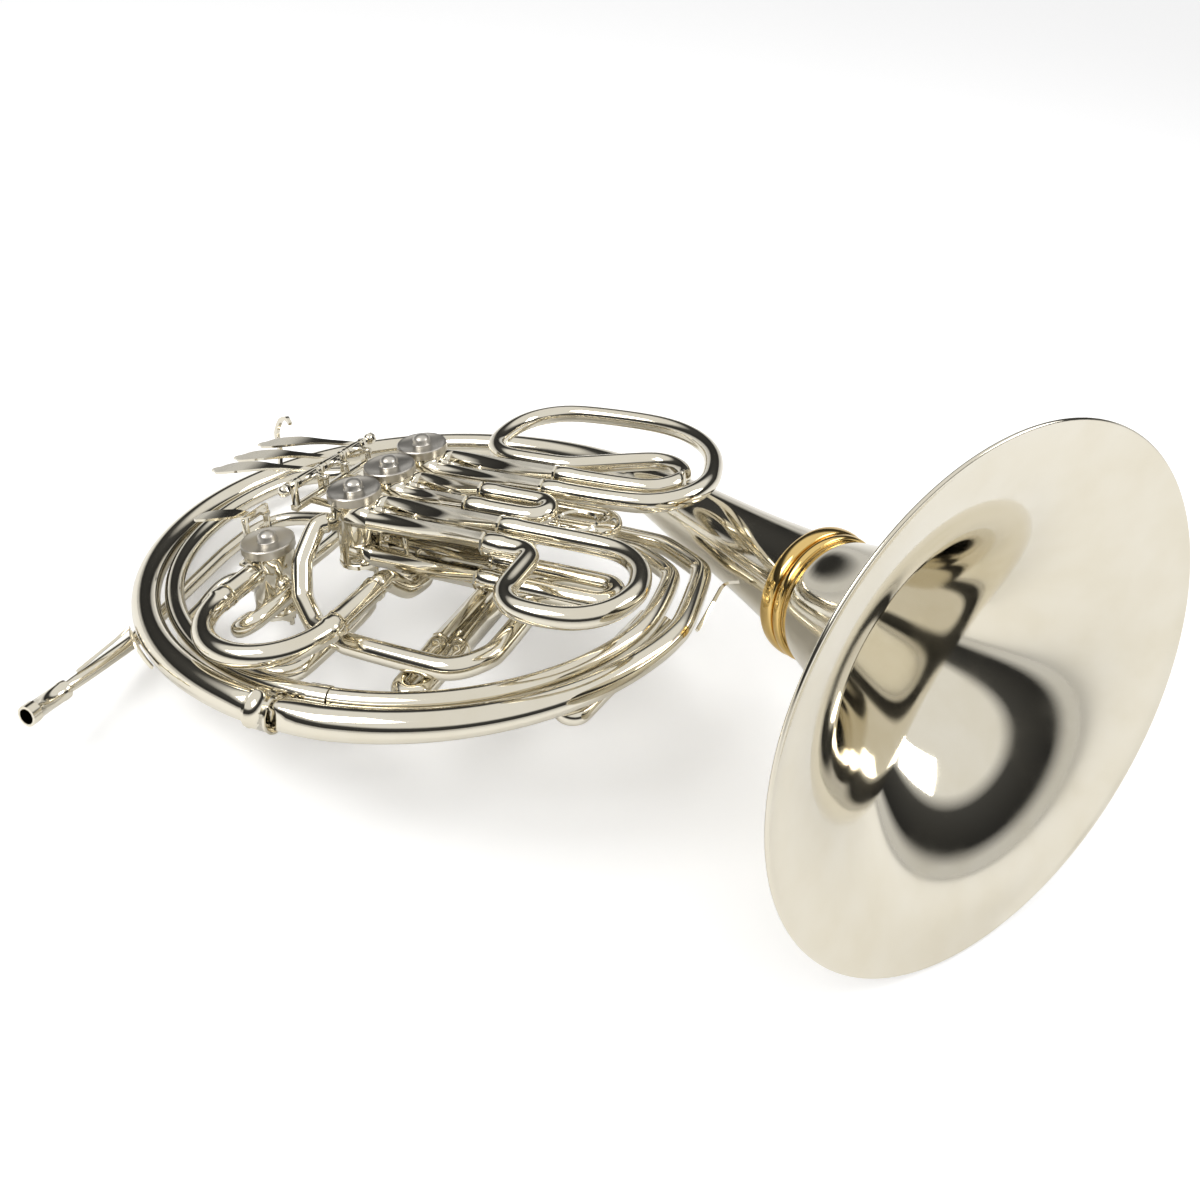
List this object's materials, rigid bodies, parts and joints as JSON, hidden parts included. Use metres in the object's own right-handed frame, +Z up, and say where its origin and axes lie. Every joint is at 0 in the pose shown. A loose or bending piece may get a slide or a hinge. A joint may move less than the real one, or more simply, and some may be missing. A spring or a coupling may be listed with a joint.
{
  "type": "double french horn",
  "caption": "Double french horn lying flat, with rotary valves, pulling slides, finger and thumb levers and a detachable bell.",
  "frame": {"origin": "centre of the bounding box's foot, on the floor", "axes": "+X along the valve slides towards the bell, +Y away from the front of the ring, +Z up"},
  "size_m": [0.644, 0.4144, 0.2999],
  "materials": {
    "nickel_silver": "polished nickel silver",
    "gold_brass": "polished brass",
    "cap_plate": "satin"
  },
  "bodies": {
    "horn": {"bell_brace": "nickel_silver", "bell_tail": "nickel_silver", "cap_1": "cap_plate", "cap_2": "cap_plate", "cap_3": "cap_plate", "cap_change": "cap_plate", "casing_1": "nickel_silver", "casing_2": "nickel_silver", "casing_3": "nickel_silver", "casing_change": "nickel_silver", "change_valve_crook": "nickel_silver", "finger_hook": "nickel_silver", "first_valve_tube": "nickel_silver", "front_sleeves": "nickel_silver", "inner_ring_ferrule": "nickel_silver", "inner_ring_tube": "nickel_silver", "leadpipe": "nickel_silver", "leadpipe_brace": "nickel_silver", "lever_bracket": "nickel_silver", "main_sleeve_left": "nickel_silver", "main_sleeve_right": "nickel_silver", "main_slide_crook": "nickel_silver", "mouthpipe_receiver": "nickel_silver", "ring_ferrule": "nickel_silver", "ring_front_tube": "nickel_silver", "short_crook": "nickel_silver", "side_sleeves": "nickel_silver", "side_slide_brace": "nickel_silver", "sleeves_1": "nickel_silver", "sleeves_2": "nickel_silver", "sleeves_3": "nickel_silver", "throat_ring": "gold_brass", "thumb_bracket": "nickel_silver"},
    "f1": {"slide_f1": "nickel_silver"},
    "f2": {"slide_f2": "nickel_silver", "pull_ring": "nickel_silver"},
    "f3": {"slide_f3": "nickel_silver"},
    "b1": {"slide_b1": "nickel_silver"},
    "b2": {"slide_b2": "nickel_silver"},
    "b3": {"slide_b3": "nickel_silver"},
    "main": {"main_slide": "nickel_silver"},
    "front": {"front_slide": "nickel_silver"},
    "side": {"side_slide": "nickel_silver"},
    "bell": {"bell_flare": "nickel_silver", "flare_ring": "gold_brass"},
    "lever1": {"lever_1": "nickel_silver"},
    "rotor1": {"rotor_1": "nickel_silver"},
    "lever2": {"lever_2": "nickel_silver"},
    "rotor2": {"rotor_2": "nickel_silver"},
    "lever3": {"lever_3": "nickel_silver"},
    "rotor3": {"rotor_3": "nickel_silver"},
    "thumb": {"thumb_lever": "nickel_silver"},
    "rotorc": {"rotor_change": "nickel_silver"}
  },
  "joints": [
    {"name": "f1_pull", "type": "slide", "parent": "horn", "child": "f1", "axis": [0.9703, 0.0217, 0.241], "range_m": [0, 0.05]},
    {"name": "f2_pull", "type": "slide", "parent": "horn", "child": "f2", "axis": [0.9703, 0.0217, 0.241], "range_m": [0, 0.025]},
    {"name": "f3_pull", "type": "slide", "parent": "horn", "child": "f3", "axis": [0.9703, 0.0217, 0.241], "range_m": [0, 0.05]},
    {"name": "b1_pull", "type": "slide", "parent": "horn", "child": "b1", "axis": [0.9703, 0.0217, 0.241], "range_m": [0, 0.045]},
    {"name": "b2_pull", "type": "slide", "parent": "horn", "child": "b2", "axis": [0.9703, 0.0217, 0.241], "range_m": [0, 0.022]},
    {"name": "b3_pull", "type": "slide", "parent": "horn", "child": "b3", "axis": [0.9703, 0.0217, 0.241], "range_m": [0, 0.035]},
    {"name": "main_pull", "type": "slide", "parent": "horn", "child": "main", "axis": [0, -0.996, 0.0898], "range_m": [0, 0.018]},
    {"name": "front_pull", "type": "slide", "parent": "horn", "child": "front", "axis": [0, -0.996, 0.0898], "range_m": [0, 0.01]},
    {"name": "side_pull", "type": "slide", "parent": "horn", "child": "side", "axis": [-0.1513, -0.9872, 0.0512], "range_m": [0, 0.03]},
    {"name": "bell_unscrew", "type": "slide", "parent": "horn", "child": "bell", "axis": [0.8006, -0.5448, 0.2496], "range_m": [0, 0.012]},
    {"name": "lever1_press", "type": "hinge", "parent": "horn", "child": "lever1", "pos_m": [-0.20212, 0.00175, 0.10506], "axis": [-0.077, -0.9945, 0.0704], "range_deg": [0, 12], "stiffness_Nm_per_rad": 0.3, "springref_deg": -20.05},
    {"name": "rotor1_turn", "type": "hinge", "parent": "horn", "child": "rotor1", "pos_m": [-0.15692, -0.01016, 0.09468], "axis": [-0.2419, 0.0872, 0.9664], "range_deg": [0, 91]},
    {"name": "lever2_press", "type": "hinge", "parent": "horn", "child": "lever2", "pos_m": [-0.2005, 0.02263, 0.10358], "axis": [-0.077, -0.9945, 0.0704], "range_deg": [0, 12], "stiffness_Nm_per_rad": 0.3, "springref_deg": -20.05},
    {"name": "rotor2_turn", "type": "hinge", "parent": "horn", "child": "rotor2", "pos_m": [-0.15401, 0.02746, 0.09202], "axis": [-0.2419, 0.0872, 0.9664], "range_deg": [0, 91]},
    {"name": "lever3_press", "type": "hinge", "parent": "horn", "child": "lever3", "pos_m": [-0.19865, 0.0465, 0.10189], "axis": [-0.077, -0.9945, 0.0704], "range_deg": [0, 12], "stiffness_Nm_per_rad": 0.3, "springref_deg": -20.05},
    {"name": "rotor3_turn", "type": "hinge", "parent": "horn", "child": "rotor3", "pos_m": [-0.1511, 0.06507, 0.08935], "axis": [-0.2419, 0.0872, 0.9664], "range_deg": [0, 91]},
    {"name": "thumb_press", "type": "hinge", "parent": "horn", "child": "thumb", "pos_m": [-0.23091, -0.02603, 0.07449], "axis": [0, -0.996, 0.0898], "range_deg": [0, 12], "stiffness_Nm_per_rad": 0.3, "springref_deg": -20.05},
    {"name": "rotorc_turn", "type": "hinge", "parent": "horn", "child": "rotorc", "pos_m": [-0.19721, -0.04869, 0.05703], "axis": [-0.2419, 0.0872, 0.9664], "range_deg": [0, 91]}
  ],
  "couplings": [
    {"joint": "rotor1_turn", "follows": "lever1_press", "ratio": 7.5},
    {"joint": "rotor2_turn", "follows": "lever2_press", "ratio": 7.5},
    {"joint": "rotor3_turn", "follows": "lever3_press", "ratio": 7.5},
    {"joint": "rotorc_turn", "follows": "thumb_press", "ratio": 7.5}
  ]
}
